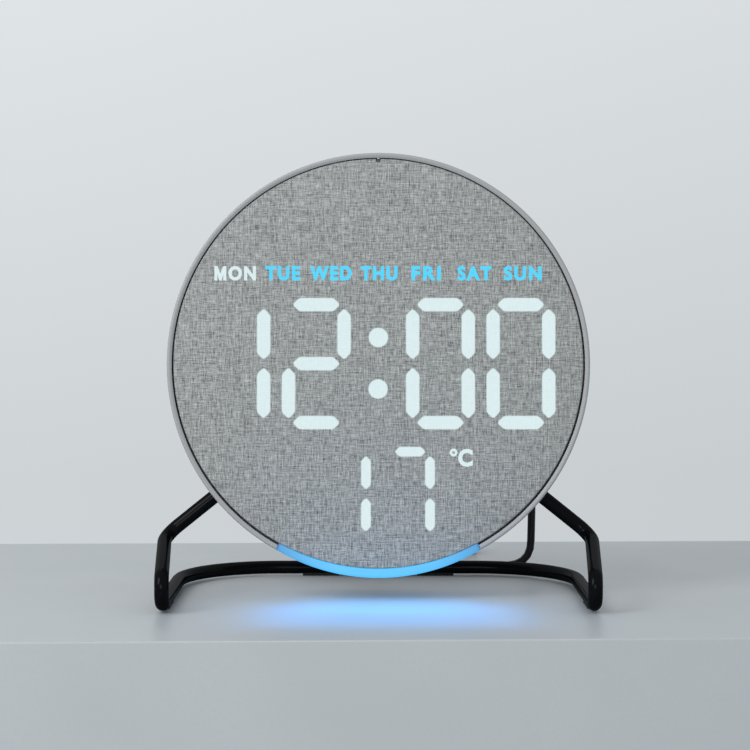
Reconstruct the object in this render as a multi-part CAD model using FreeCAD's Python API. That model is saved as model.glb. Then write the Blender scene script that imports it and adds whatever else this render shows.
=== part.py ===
"""Round bedside clock: a light display behind cloth in a drum housing, held by one bent steel rod.

Row frame: X to the right seen from the front, Y to the rear, Z up, origin under the middle of the stand.
The housing is built in its own frame, with the front of the rim at y = 0 and its axis along +y, and then
leaned back and lifted into place."""

import FreeCAD, Part
import math
import os

os.makedirs("parts", exist_ok=True)
V = FreeCAD.Vector

# Housing
housing_diameter = 150.0
housing_depth = 32.0
front_depth = 23.0  # of the front shell, up to the joint with the rear cover
wall = 2.0
cover_floor = 2.5
rim_width = 1.75
rim_round = 0.7
back_round = 6.0
face_tilt = 4.0
centre_height = 83.9
face_y = -14.0

# Cloth-covered front
cloth_gap = 0.55
cloth_recess = 0.6
cloth_thickness = 0.5
cloth_rise = 0.25
panel_thickness = 2.0
notch_width = 1.6
notch_depth = 1.2
nub_width = 0.9
nub_height = 0.45
ledge_thickness = 2.0
ledge_width = 3.1

# Display stack behind the panel
film_thickness = 0.3
mask_thickness = 5.0
board_thickness = 1.6
display_board_gap = 0.5  # between the board's edge and the mask's
stack_clearance = 0.4
lamp_height = 0.8

# Figures of the display
time_centres = (-50.5, -22.0, 22.0, 50.5)
time_height = 42.0
time_width = 19.7
time_stroke = 5.1
time_z = 0.2
colon_radius = 3.45
colon_offset = 9.2
day_pitch = 17.0
day_z = 31.9
day_window = (14.8, 6.2)
stroke_gap = 3.2
degree_centres = (-11.4, 11.25)
degree_height = 29.3
degree_width = 14.0
degree_stroke = 3.7
degree_z = -45.7
unit_place = (29.6, -33.0)
unit_window = (9.0, 8.0)

# Light bar under the rim
bar_half_angle = 29.0
bar_depth = 11.0
bar_clearance = 0.1
guide_gap = 1.0  # between the light guide and the mask
bar_lamps = 9
bar_lamp_width = 3.0
bar_board_width = 8.6
bar_board_gap = 0.4  # between its rim and the inside of the wall
bar_board_thickness = 1.2
flex_width = 8.0
flex_thickness = 0.3
flex_lap = 4.0  # of the flat lead over the edge of either board
flex_slack = 1.1

# Screws and their bosses
cover_boss_angles = (35.0, 145.0, 250.0, 290.0)
cover_boss_radius = 4.0
cover_boss_inset = 7.5  # of a boss's axis from the inside of the wall
cover_rib_width = 3.0
cover_boss_start = 13.5
cover_boss_end = 26.0
cover_screw_radius = 1.25
cover_head_radius = 2.75
cover_head_height = 2.0
cover_head_seat = 28.2
board_boss_angles = (50.0, 130.0, 230.0, 310.0)
board_boss_radius = 3.6
board_boss_inset = 3.1  # of a boss's axis from the edge of the ledge
board_screw_radius = 1.1
board_head_radius = 2.2
board_head_height = 1.6
screw_clearance = 0.25

# Control board, carried by posts of the rear cover
control_board_front = 20.0
control_board_half_width = 48.0
control_board_top = 34.0
control_board_bottom = -30.0
post_places = ((-42.0, 29.0), (42.0, 29.0), (-42.0, -25.0), (42.0, -25.0))
post_radius = 3.5
header_pins = 10
header_pitch = 2.54
header_z = 30.0
header_split = 18.2
lip_thickness = 1.6
lip_length = 2.0
lip_clearance = 0.1

# Buttons on the back
button_places = {"mode_button": -33.0, "set_button": -11.0, "up_button": 11.0, "down_button": 33.0}
button_z = 20.0
button_radius = 3.92
button_clearance = 0.08
button_rise = 1.0
button_travel = 0.5
button_flange = 1.0
switch_side = 6.0
switch_height = 3.4
plunger_radius = 1.75

# Backup cell and its twist cap
cell_place = (-24.0, -10.0)
cell_radius = 10.0
cell_thickness = 3.2
cap_radius = 12.92
cap_clearance = 0.08
cap_lug_reach = 2.1
cap_lug_half_angle = 11.0
cap_turn = 40.0

# Buzzer, socket and lead
buzzer_place = (22.0, -10.0)
buzzer_radius = 6.0
buzzer_height = 6.0
socket_place = (59.5, -22.0)
socket_side = 9.0
socket_nose = 3.2
barrel_radius = 1.75
barrel_clearance = 0.1
barrel_length = 9.2
plug_radius = 4.0
plug_length = 15.0
relief_length = 10.0
cord_diameter = 3.0
coil_centre = (0.0, 80.0)
coil_turns_across = 3
coil_turns_up = 3
coil_outer_turn = 20.0
tie_thickness = 0.7
tie_width = 8.0
usb_body_length = 20.0
usb_body_width = 15.0
usb_body_height = 7.6
usb_relief_length = 8.0
usb_shell_size = (12.0, 12.0, 4.5)
usb_shell_skin = 0.3

# Stand
rod_diameter = 5.0
stand_angle = 38.7
stand_depth_in_housing = 15.5
stand_shoulder_x = 77.0
stand_side_x = 73.6
stand_front_y = -47.0
stand_rear_y = 47.0
stand_foot_height = 9.2
shoulder_bend = 7.0
foot_bend = 4.5
corner_bend = 36.0
rod_inner_end = 60.5
bush_inner_end = 60.0
bush_radius = 4.0
bush_clearance = 0.05
sleeve_wall = 1.15
sleeve_length = 7.0
pad_length = 14.0
pad_width = 3.0
pad_thickness = 0.6

# Sizes that follow from the ones above
R = housing_diameter / 2
inner_R = R - wall
opening_R = R - rim_width
cloth_R = opening_R - cloth_gap
panel_R = cloth_R - cloth_thickness
panel_front = cloth_recess + cloth_thickness
panel_back = panel_front + panel_thickness
ledge_R = inner_R - ledge_width
ledge_back = panel_back + ledge_thickness
mask_R = ledge_R - stack_clearance
display_board_R = mask_R - display_board_gap
guide_R = mask_R + guide_gap
bar_board_outer = inner_R - bar_board_gap
bar_board_inner = bar_board_outer - bar_board_width
bar_board_front = cover_boss_start - bar_board_thickness
cover_boss_ring = inner_R - cover_boss_inset
board_boss_ring = ledge_R - board_boss_inset
mask_front = panel_back + film_thickness
board_front = mask_front + mask_thickness
board_back = board_front + board_thickness
cover_inside = housing_depth - cover_floor
control_board_back = control_board_front + board_thickness
cell_front = control_board_back + 1.4
plug_face = housing_depth + 0.05
plug_end = plug_face + plug_length + relief_length
usb_axis_z = usb_body_height / 2
rod_radius = rod_diameter / 2
rod_axis_z = pad_thickness + rod_radius
cord_radius = cord_diameter / 2
cord_low = cord_radius + 0.05  # its axis where it lies on the surface


def along_y(radius, start, end, x=0.0, z=0.0):
    return Part.makeCylinder(radius, end - start, V(x, start, z), V(0, 1, 0))


def block(x0, x1, y0, y1, z0, z1):
    return Part.makeBox(x1 - x0, y1 - y0, z1 - z0, V(x0, y0, z0))


def block_at(x, z, width, height, start, end):
    return block(x - width / 2, x + width / 2, start, end, z - height / 2, z + height / 2)


def polar(radius, degrees):
    return radius * math.cos(math.radians(degrees)), radius * math.sin(math.radians(degrees))


def ring(inner, outer, start, end, x=0.0, z=0.0):
    return along_y(outer, start, end, x, z).cut(along_y(inner, start - 1, end + 1, x, z))


def wedge(inner, outer, start, end, half_angle, middle=270.0, x=0.0, z=0.0):
    """A stretch of a ring about +y, centred on the angle middle, counted from +x towards +z."""
    solid = Part.makeCylinder(outer, end - start, V(0, 0, 0), V(0, 0, 1), 2 * half_angle)
    solid = solid.cut(Part.makeCylinder(inner, end - start, V(0, 0, 0), V(0, 0, 1)))
    solid.rotate(V(0, 0, 0), V(0, 0, 1), -middle - half_angle)
    solid.rotate(V(0, 0, 0), V(1, 0, 0), -90)
    solid.translate(V(x, start, z))
    return solid


def round_circles(shape, radius, y, size):
    """Rounds the circular edges of this radius that lie at this depth."""
    edges = []
    for edge in shape.Edges:
        curve = edge.Curve
        if isinstance(curve, Part.Circle) and abs(curve.Radius - radius) < 1e-3:
            if abs(edge.BoundBox.YMin - y) < 1e-3 and edge.BoundBox.YLength < 1e-3:
                edges.append(edge)
    return shape.makeFillet(size, edges)


def place(shape):
    """Leans a shape of the housing's frame back and lifts it into the row frame."""
    moved = shape.copy()
    moved.rotate(V(0, 0, 0), V(1, 0, 0), -face_tilt)
    moved.translate(V(0, face_y, centre_height))
    return moved


def place_point(point):
    return place(Part.Vertex(point)).Point


def save(name, shape):
    shape.exportStep(f"parts/{name}.step")


def save_in_housing(name, shape):
    save(name, place(shape))


def group(solids):
    return Part.makeCompound(solids)


# The figures, cut into the mask


def figure_strokes(x, z, width, height, stroke):
    """The seven strokes of one digit, as (x, z, width, height)."""
    across = width - stroke_gap
    down = height / 2 - stroke_gap
    strokes = [(x, z + row * height / 2, across, stroke) for row in (-1, 0, 1)]
    for side in (-1, 1):
        for row in (-1, 1):
            strokes.append((x + side * width / 2, z + row * height / 4, stroke, down))
    return strokes


def all_strokes():
    strokes = []
    for x in time_centres:
        strokes += figure_strokes(x, time_z, time_width, time_height, time_stroke)
    for x in degree_centres:
        strokes += figure_strokes(x, degree_z, degree_width, degree_height, degree_stroke)
    return strokes


def stroke_well(x, z, width, height):
    """A six-sided well: a bar with a 45 degree point at each end."""
    half = min(width, height) / 2
    if width > height:
        shoulder = width / 2 - half
        outline = [(-width / 2, 0), (-shoulder, half), (shoulder, half)]
    else:
        shoulder = height / 2 - half
        outline = [(0, height / 2), (half, shoulder), (half, -shoulder)]
    outline += [(-px, -pz) for px, pz in outline]
    points = [V(x + px, mask_front - 1, z + pz) for px, pz in outline + outline[:1]]
    return Part.Face(Part.makePolygon(points)).extrude(V(0, mask_thickness + 2, 0))


def plain_windows():
    """The windows behind the day names and the unit sign."""
    windows = []
    for day in range(-3, 4):
        windows.append((day * day_pitch, day_z, *day_window))
    windows.append((*unit_place, *unit_window))
    return windows


def colon_places():
    return [(0.0, time_z + side * colon_offset) for side in (-1, 1)]


# Housing


def stand_axis(side, radius):
    angle = -stand_angle if side > 0 else 180 + stand_angle
    x, z = polar(radius, angle)
    return V(x, stand_depth_in_housing, z)


def radial_cylinder(side, radius, start, end):
    inner = stand_axis(side, start)
    direction = stand_axis(side, end) - inner
    return Part.makeCylinder(radius, end - start, inner, direction)


def front_housing():
    shell = along_y(R, 0, front_depth)
    shell = round_circles(shell, R, 0, rim_round)
    shell = shell.cut(along_y(opening_R, -1, panel_back))
    shell = shell.cut(along_y(ledge_R, panel_back - 1, front_depth + 1))
    shell = shell.cut(along_y(inner_R, ledge_back, front_depth + 1))
    shell = shell.fuse(nub())
    for side in (-1, 1):
        sleeve_radius = bush_radius + bush_clearance + sleeve_wall
        sleeve = radial_cylinder(side, sleeve_radius, inner_R - sleeve_length, inner_R + 0.5)
        shell = shell.fuse(sleeve)
    for angle in cover_boss_angles:
        shell = shell.fuse(cover_boss(angle))
    for angle in board_boss_angles:
        x, z = polar(board_boss_ring, angle)
        shell = shell.fuse(along_y(board_boss_radius, panel_back, board_front, x, z))
    for side in (-1, 1):
        bore = bush_radius + bush_clearance
        shell = shell.cut(radial_cylinder(side, bore, inner_R - sleeve_length - 1, inner_R))
        shell = shell.cut(radial_cylinder(side, rod_radius + 0.25, inner_R - 1, R + 2))
    for angle in cover_boss_angles:
        x, z = polar(cover_boss_ring, angle)
        shell = shell.cut(along_y(cover_screw_radius, cover_boss_start + 2.5, cover_boss_end + 1, x, z))
    for angle in board_boss_angles:
        x, z = polar(board_boss_ring, angle)
        shell = shell.cut(along_y(board_screw_radius, panel_back + 1.5, board_front + 1, x, z))
    opening = wedge(ledge_R - 1, R + 1, -1, bar_depth + bar_clearance, bar_half_angle)
    keep = along_y(ledge_R - 0.01, -1, bar_depth + 1)
    return shell.cut(opening.cut(keep))


def nub():
    """A small key at the top of the rim, which finds the notch of the front panel."""
    tip = opening_R - nub_height
    return block(-nub_width / 2, nub_width / 2, cloth_recess, panel_back, tip, opening_R + 0.5)


def cover_boss(angle):
    x, z = polar(cover_boss_ring, angle)
    boss = along_y(cover_boss_radius, cover_boss_start, cover_boss_end, x, z)
    rib_end = front_depth - lip_length - 0.2
    half = cover_rib_width / 2
    rib = block(cover_boss_ring, inner_R + 0.5, cover_boss_start, rib_end, -half, half)
    rib.rotate(V(0, 0, 0), V(0, 1, 0), -angle)
    return boss.fuse(rib)


def notch(start, end):
    half = notch_width / 2
    return block(-half, half, start - 1, end + 1, cloth_R - notch_depth, cloth_R + 1)


def front_panel():
    panel = along_y(panel_R, panel_front, panel_back).cut(notch(panel_front, panel_back))
    panel.translate(V(0, 0, cloth_rise))
    return panel


def fabric_cover():
    cloth = along_y(cloth_R, cloth_recess, panel_back)
    cloth = cloth.cut(along_y(panel_R, panel_front, panel_back + 1))
    cloth = cloth.cut(notch(cloth_recess, panel_back))
    cloth.translate(V(0, 0, cloth_rise))
    return cloth


def boss_room(shape, start, end):
    for angle in board_boss_angles:
        x, z = polar(board_boss_ring, angle)
        shape = shape.cut(along_y(board_boss_radius + stack_clearance, start - 1, end + 1, x, z))
    return shape


def diffuser_film():
    return boss_room(along_y(mask_R, panel_back, mask_front), panel_back, mask_front)


def light_mask():
    mask = boss_room(along_y(mask_R, mask_front, board_front), mask_front, board_front)
    wells = [stroke_well(*stroke) for stroke in all_strokes()]
    wells += [block_at(*window, mask_front - 1, board_front + 1) for window in plain_windows()]
    wells += [along_y(colon_radius, mask_front - 1, board_front + 1, x, z) for x, z in colon_places()]
    return mask.cut(group(wells))


def display_board():
    board = along_y(display_board_R, board_front, board_back)
    for angle in board_boss_angles:
        x, z = polar(board_boss_ring, angle)
        hole = along_y(board_screw_radius + screw_clearance, board_front - 1, board_back + 1, x, z)
        board = board.cut(hole)
    return board


def segment_leds():
    """One lamp on the board in the middle of every window."""
    places = [(x, z, w > h) for x, z, w, h in all_strokes() + plain_windows()]
    places += [(x, z, True) for x, z in colon_places()]
    lamps = []
    for x, z, lies_flat in places:
        width, height = (3.2, 1.6) if lies_flat else (1.6, 3.2)
        lamps.append(block_at(x, z, width, height, board_front - lamp_height, board_front))
    return group(lamps)


def display_driver():
    return block_at(0, -15, 7, 5, board_back, board_back + 1.2)


def board_screws():
    screws = []
    for angle in board_boss_angles:
        x, z = polar(board_boss_ring, angle)
        shank = along_y(board_screw_radius, panel_back + 2.5, board_back, x, z)
        screws.append(shank.fuse(cross_head(x, z, board_back, board_head_radius, board_head_height, 1)))
    return group(screws)


def cross_head(x, z, seat, radius, height, way):
    """A screw head with a cross recess, standing off its seat along way times y."""
    top = seat + way * height
    head = along_y(radius, min(seat, top), max(seat, top), x, z)
    floor = top - way * height * 0.5
    low = min(floor, top + way)
    high = max(floor, top + way)
    arm = radius * 1.1
    cross = block_at(x, z, arm, 0.5, low, high).fuse(block_at(x, z, 0.5, arm, low, high))
    return head.cut(cross)


# Light bar


def light_bar():
    edge = bar_half_angle - 0.1
    outer = wedge(inner_R + bar_clearance - 0.05, R, 0, bar_depth, edge)
    flange = wedge(ledge_R + 0.1, inner_R + 0.1, panel_back + 0.1, ledge_back, edge)
    guide = wedge(guide_R, inner_R + 0.1, ledge_back - 0.05, bar_depth, edge)
    bar = outer.fuse(flange).fuse(guide)
    return bar.removeSplitter()


def mood_light_board():
    return wedge(bar_board_inner, bar_board_outer, bar_board_front, cover_boss_start, bar_half_angle - 3)


def mood_light_leds():
    lamps = []
    span = 2 * (bar_half_angle - 5)
    for index in range(bar_lamps):
        turn = -span / 2 + span * index / (bar_lamps - 1)
        half = bar_lamp_width / 2
        low = -(bar_board_outer - 0.3)
        lamp = block(-half, half, bar_depth + 0.1, bar_board_front, low, -(guide_R + 0.1))
        lamp.rotate(V(0, 0, 0), V(0, 1, 0), turn)
        lamps.append(lamp)
    return group(lamps)


def light_bar_flex():
    """The flat lead from the light bar's board to the control board."""
    near = cover_boss_start
    far = control_board_front
    bottom = -(bar_board_inner + flex_lap)
    bend = -(bar_board_inner - flex_slack)
    edge = control_board_bottom - 2 * flex_slack
    top = control_board_bottom + flex_lap
    outline = [
        (near, bottom), (near, bend), (far - flex_thickness, edge), (far - flex_thickness, top),
        (far, top), (far, edge), (near + flex_thickness, bend), (near + flex_thickness, bottom),
    ]
    points = [V(-flex_width / 2, y, z) for y, z in outline + outline[:1]]
    return Part.Face(Part.makePolygon(points)).extrude(V(flex_width, 0, 0))


# Rear cover and what it carries


def rear_cover():
    cup = along_y(R, front_depth, housing_depth)
    cup = round_circles(cup, R, housing_depth, back_round)
    hollow = along_y(inner_R, front_depth - 1, cover_inside)
    hollow = round_circles(hollow, inner_R, cover_inside, back_round - wall)
    cup = cup.cut(hollow)
    lip_outer = inner_R - lip_clearance
    lip_inner = lip_outer - lip_thickness
    cup = cup.fuse(ring(lip_inner, lip_outer, front_depth - lip_length, front_depth))
    cup = cup.fuse(ring(lip_inner, inner_R + 0.1, front_depth, front_depth + 2))
    for angle in cover_boss_angles:
        x, z = polar(cover_boss_ring, angle)
        cup = cup.fuse(along_y(cover_boss_radius, cover_boss_end, cover_inside + 0.5, x, z))
    for x, z in post_places:
        cup = cup.fuse(along_y(post_radius, control_board_back, cover_inside + 0.5, x, z))
    for angle in cover_boss_angles:
        x, z = polar(cover_boss_ring, angle)
        hole = cover_screw_radius + 2 * screw_clearance
        cup = cup.cut(along_y(hole, cover_boss_end - 1, housing_depth + 1, x, z))
        cup = cup.cut(along_y(cover_head_radius + 0.25, cover_head_seat, housing_depth + 1, x, z))
    for x, z in post_places:
        cup = cup.cut(along_y(board_screw_radius, control_board_back - 1, cover_inside - 1, x, z))
    for x in button_places.values():
        cup = cup.cut(through_cover(button_radius + button_clearance, x, button_z))
    cup = cup.cut(cap_hole())
    cup = cup.cut(through_cover(socket_nose + 0.2, *socket_place))
    return cup.cut(sound_slots())


def through_cover(radius, x, z):
    return along_y(radius, cover_inside - 1, housing_depth + 1, x, z)


def cap_hole():
    """The round opening over the cell, with two notches that let the cap's lugs pass when it is turned."""
    radius = cap_radius + cap_clearance
    hole = through_cover(radius, *cell_place)
    for middle in (-cap_turn, 180 - cap_turn):
        reach = radius + cap_lug_reach + 0.2
        half = cap_lug_half_angle + 2
        hole = hole.fuse(
            wedge(radius - 1, reach, cover_inside - 1, housing_depth + 1, half, middle, *cell_place)
        )
    return hole


def sound_slots():
    x, z = buzzer_place
    slots = []
    for index in range(-2, 3):
        height = 12 - 1.5 * abs(index)
        slots.append(block_at(x + index * 3.2, z, 1.4, height, cover_inside - 1, housing_depth + 1))
    return group(slots)


def cover_screws():
    screws = []
    for angle in cover_boss_angles:
        x, z = polar(cover_boss_ring, angle)
        shank = along_y(cover_screw_radius, cover_boss_start + 4, cover_head_seat, x, z)
        head = cross_head(x, z, cover_head_seat, cover_head_radius, cover_head_height, 1)
        screws.append(shank.fuse(head))
    return group(screws)


def control_board():
    half = control_board_half_width
    start, end = control_board_front, control_board_back
    board = block(-half, half, start, end, control_board_bottom, control_board_top)
    x, z = socket_place
    reach = socket_side / 2
    tab = block(half - 1, x + reach + 0.5, start, end, z - reach - 1, z + reach + 1)
    board = board.fuse(tab)
    for px, pz in post_places:
        board = board.cut(along_y(board_screw_radius + screw_clearance, start - 1, end + 1, px, pz))
    return board.removeSplitter()


def control_board_screws():
    screws = []
    for x, z in post_places:
        shank = along_y(board_screw_radius, control_board_front, control_board_back + 5, x, z)
        head = cross_head(x, z, control_board_front, board_head_radius, board_head_height, -1)
        screws.append(shank.fuse(head))
    return group(screws)


def header_places():
    first = -(header_pins - 1) / 2
    return [(first + index) * header_pitch for index in range(header_pins)]


def header_socket():
    body = block_at(0, header_z, header_pins * header_pitch, 5, board_back, header_split)
    holes = [along_y(0.42, board_back + 1.5, header_split + 1, x, header_z) for x in header_places()]
    return body.cut(group(holes))


def pin_header():
    body = block_at(0, header_z, header_pins * header_pitch, 2.5, header_split, control_board_front)
    for x in header_places():
        body = body.fuse(along_y(0.32, board_back + 2.5, header_split + 0.5, x, header_z))
    return body


def tact_switches():
    switches = []
    top = control_board_back + switch_height
    for x in button_places.values():
        body = block_at(x, button_z, switch_side, switch_side, control_board_back, top)
        well = along_y(plunger_radius + 0.1, top - button_travel - 0.3, top + 1, x, button_z)
        switches.append(body.cut(well))
    return group(switches)


def switch_plunger(x):
    top = control_board_back + switch_height
    return along_y(plunger_radius, top - 0.25, top + 1, x, button_z)


def button_cap(x):
    foot = control_board_back + switch_height + 1
    flange_back = cover_inside - 0.1
    flange_front = flange_back - 1.5
    top = housing_depth + button_rise
    cap = along_y(button_radius, flange_back - 0.5, top, x, button_z)
    cap = round_circles(cap, button_radius, top, 0.4)
    cap = cap.fuse(along_y(button_radius + button_flange, flange_front, flange_back, x, button_z))
    return cap.fuse(along_y(2.4, foot, flange_front, x, button_z))


def controller_chip():
    return block_at(-15, 8, 10, 10, control_board_front - 1.4, control_board_front)


def clock_crystal():
    crystal = Part.makeCylinder(1.5, 6.2, V(-31.1, control_board_front - 1.5, 4), V(1, 0, 0))
    return crystal


def power_capacitor():
    return along_y(3.15, control_board_front - 7, control_board_front, 40, -8)


def temperature_sensor():
    bead = along_y(1.2, control_board_front - 3.5, control_board_front - 1.5, 22, -27)
    for offset in (-0.6, 0.6):
        bead = bead.fuse(along_y(0.25, control_board_front - 2, control_board_front, 22 + offset, -27))
    return bead


def cell_holder():
    x, z = cell_place
    outer = cell_radius + 2.4
    holder = along_y(outer, control_board_back, cell_front + cell_thickness + 0.3, x, z)
    holder = holder.cut(along_y(cell_radius + 0.2, control_board_back + 1, housing_depth, x, z))
    floor = control_board_back + 1
    clip_room = block(x + cell_radius - 3, x + outer + 1, floor, housing_depth, z - 2.7, z + 2.7)
    return holder.cut(clip_room)


def backup_cell():
    x, z = cell_place
    middle = cell_front + 0.8
    small = along_y(cell_radius - 1.2, cell_front, middle, x, z)
    large = along_y(cell_radius, middle, cell_front + cell_thickness, x, z)
    return small.fuse(large)


def cell_contacts():
    x, z = cell_place
    floor = control_board_back + 1
    under = block_at(x, z, 8, 4, floor, cell_front)
    back = cell_front + cell_thickness
    out = x + cell_radius + 1.2
    over = block(x + cell_radius - 3, out, back, back + 0.3, z - 2.5, z + 2.5)
    leg = block(out - 0.4, out, floor, back + 0.3, z - 2.5, z + 2.5)
    return group([under, over.fuse(leg)])


def battery_cap():
    x, z = cell_place
    cap = along_y(cap_radius, cover_inside - 1.2, housing_depth, x, z)
    cap = round_circles(cap, cap_radius, housing_depth, 0.3)
    lug_back = cover_inside - 0.1
    for middle in (0, 180):
        reach = cap_radius + cap_lug_reach
        cap = cap.fuse(wedge(cap_radius - 1, reach, lug_back - 1.1, lug_back, cap_lug_half_angle, middle, x, z))
    coin_slot = block_at(x, z, 14, 2.0, housing_depth - 1.2, housing_depth + 1)
    return cap.cut(coin_slot)


def buzzer():
    x, z = buzzer_place
    back = control_board_back + buzzer_height
    body = along_y(buzzer_radius, control_board_back, back, x, z)
    body = round_circles(body, buzzer_radius, back, 0.5)
    return body.cut(along_y(1, back - 1, back + 1, x, z))


def power_socket():
    x, z = socket_place
    nose_end = housing_depth - 0.4
    floor = control_board_back + 1
    body = block_at(x, z, socket_side, socket_side, control_board_back, cover_inside - 0.1)
    body = body.fuse(along_y(socket_nose, cover_inside - 0.2, nose_end, x, z))
    body = body.cut(along_y(barrel_radius + barrel_clearance, floor, nose_end + 1, x, z))
    return body.fuse(along_y(0.6, floor - 0.5, nose_end - 1, x, z))


# Stand


def rounded_path(points, radii):
    """A wire of straight runs joined by tangent arcs, one radius for each inner point."""
    edges = []
    start = points[0]
    for index, radius in enumerate(radii, 1):
        corner = points[index]
        back = (points[index - 1] - corner).normalize()
        ahead = (points[index + 1] - corner).normalize()
        half = back.getAngle(ahead) / 2
        reach = radius / math.tan(half)
        first = corner + back * reach
        last = corner + ahead * reach
        inward = (back + ahead).normalize()
        middle = corner + inward * (radius / math.sin(half) - radius)
        if (first - start).Length > 1e-6:
            edges.append(Part.LineSegment(start, first).toShape())
        edges.append(Part.Arc(first, middle, last).toShape())
        start = last
    edges.append(Part.LineSegment(start, points[-1]).toShape())
    return Part.Wire(edges)


def tube(path, radius):
    first = path.Edges[0]
    start = first.valueAt(first.FirstParameter)
    direction = first.tangentAt(first.FirstParameter)
    profile = Part.Wire(Part.Circle(start, direction, radius).toShape())
    return path.makePipeShell([profile], True, False)


def rod_points():
    shoulder = stand_shoulder_x / math.cos(math.radians(stand_angle))
    left = [
        place_point(stand_axis(-1, rod_inner_end)),
        place_point(stand_axis(-1, shoulder)),
        V(-stand_side_x, stand_front_y, rod_axis_z + stand_foot_height),
        V(-stand_side_x, stand_front_y, rod_axis_z),
        V(-stand_side_x, stand_rear_y, rod_axis_z),
    ]
    right = [V(-point.x, point.y, point.z) for point in reversed(left)]
    return left + right


def stand_rod():
    bends = [shoulder_bend, foot_bend, foot_bend, corner_bend]
    return tube(rounded_path(rod_points(), bends + bends[::-1]), rod_radius)


def stand_bush(side):
    bush = radial_cylinder(side, bush_radius, bush_inner_end, inner_R)
    bush = bush.cut(radial_cylinder(side, rod_radius + bush_clearance, bush_inner_end - 1, inner_R + 1))
    centre = stand_axis(side, bush_inner_end + 2.5)
    screw_room = Part.makeCylinder(1.25, bush_radius + 1, centre, V(0, 1, 0))
    return bush.cut(screw_room)


def stand_set_screws():
    screws = []
    for side in (-1, 1):
        centre = stand_axis(side, bush_inner_end + 2.5)
        screw = Part.makeCylinder(1.25, 2.2, centre + V(0, rod_radius + 0.05, 0), V(0, 1, 0))
        socket_hole = Part.makeCylinder(0.65, 1.2, centre + V(0, rod_radius + 1.1, 0), V(0, 1, 0))
        screws.append(screw.cut(socket_hole))
    return group(screws)


def foot_pads():
    """Thin grip pads under the floor loop, which meet the rod along its lower side."""
    pads = []
    top = pad_thickness + 0.6
    for side in (-1, 1):
        x = side * stand_side_x
        pad = block(x - pad_width / 2, x + pad_width / 2, -35, -35 + pad_length, 0, top)
        rod = Part.makeCylinder(rod_radius, pad_length + 2, V(x, -36, rod_axis_z), V(0, 1, 0))
        pads.append(pad.cut(rod))
        x = side * 22 - pad_length / 2
        y = stand_rear_y
        pad = block(x, x + pad_length, y - pad_width / 2, y + pad_width / 2, 0, top)
        rod = Part.makeCylinder(rod_radius, pad_length + 2, V(x - 1, y, rod_axis_z), V(1, 0, 0))
        pads.append(pad.cut(rod))
    return group(pads)


# Power lead

def dc_plug_barrel():
    x, z = socket_place
    front = plug_face - barrel_length
    return ring(0.7, barrel_radius, front, plug_face, x, z)


def dc_plug_body():
    x, z = socket_place
    body = along_y(plug_radius, plug_face, plug_face + plug_length, x, z)
    body = round_circles(body, plug_radius, plug_face + plug_length, 0.8)
    start = plug_face + plug_length
    relief = Part.makeCone(3.0, cord_radius + 0.5, relief_length, V(x, start, z), V(0, 1, 0))
    return body.fuse(relief)


def cord_points():
    """The lead's way from the plug, down behind the housing and along the rear bar to the coil."""
    start = place_point(V(socket_place[0], plug_end, socket_place[1]))
    return [
        start,
        start + V(0.0, 8.5, -0.6),
        start + V(0.5, 15.9, -5.7),
        start + V(0.9, 19.9, -14.2),
        start + V(1.1, 20.1, -27.4),
        V(60.4, 60.9, 17.5),
        V(59.7, 60.9, 8.4),
        V(55.4, 60.8, 3.0),
        V(46.2, 60.6, cord_low),
        V(36.4, 61.0, cord_low),
        V(24.4, 62.2, cord_low),
        V(12.0, 61.3, cord_low + 0.2),
        V(coil_centre[0], coil_centre[1] - coil_outer_turn, tie_thickness + cord_radius),
    ]


def free_path(points, name):
    radii = []
    for index in range(1, len(points) - 1):
        before = points[index] - points[index - 1]
        after = points[index + 1] - points[index]
        half = before.getAngle(after) / 2
        radii.append(0.45 * min(before.Length, after.Length) / math.tan(half))
    print(name, "radii", [round(radius, 1) for radius in radii])
    return rounded_path(points, radii)


def cord_solid(points, name):
    path = free_path(points, name)
    solid = tube(path, cord_radius)
    expected = math.pi * cord_radius**2 * path.Length
    print(name, "length", round(path.Length, 1))
    print(name, "volume over section times length", round(solid.Volume / expected, 4))
    return solid


def cord_tube():
    return cord_solid(cord_points(), "cord_tube")


def cord_coil():
    """The outer shape of the wound part of the lead, lying flat."""
    outer = coil_outer_turn + cord_radius
    inner = outer - coil_turns_across * cord_diameter
    height = coil_turns_up * cord_diameter
    base = V(*coil_centre, tie_thickness)
    coil = Part.makeCylinder(outer, height, base).cut(Part.makeCylinder(inner, height, base))
    return coil.makeFillet(1.2, [edge for edge in coil.Edges if isinstance(edge.Curve, Part.Circle)])


def cord_tie():
    """A strap round the coil's section, on the side away from the tail."""
    outer = coil_outer_turn + cord_radius
    inner = outer - coil_turns_across * cord_diameter
    x = coil_centre[0]
    y = coil_centre[1]
    top = coil_turns_up * cord_diameter + 2 * tie_thickness
    room = outer - inner + 1.6
    corner = V(x + inner - tie_thickness - 0.9, y - tie_width / 2, 0)
    strap = Part.makeBox(room + 2 * tie_thickness, tie_width, top, corner)
    corner = corner + V(tie_thickness, -1, tie_thickness)
    return strap.cut(Part.makeBox(room, tie_width + 2, top - 2 * tie_thickness, corner))


def tail_points():
    """The end of the lead, which leaves the coil's top turn on the left and bends round behind it."""
    x = coil_centre[0] - coil_outer_turn
    y = coil_centre[1]
    top = tie_thickness + coil_turns_up * cord_diameter - cord_radius
    return [
        V(x, y, top),
        V(x - 0.1, y + 7.5, top - 0.2),
        V(x + 0.8, y + 15.5, top - 1.6),
        V(x + 3.6, y + 22.8, top - 3.1),
        V(x + 8.4, y + 28.4, top - 4.1),
        V(x + 15.0, y + 31.6, usb_axis_z),
        V(x + 21.4, y + 32.4, usb_axis_z),
    ]


def usb_start():
    return tail_points()[-1]


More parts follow.
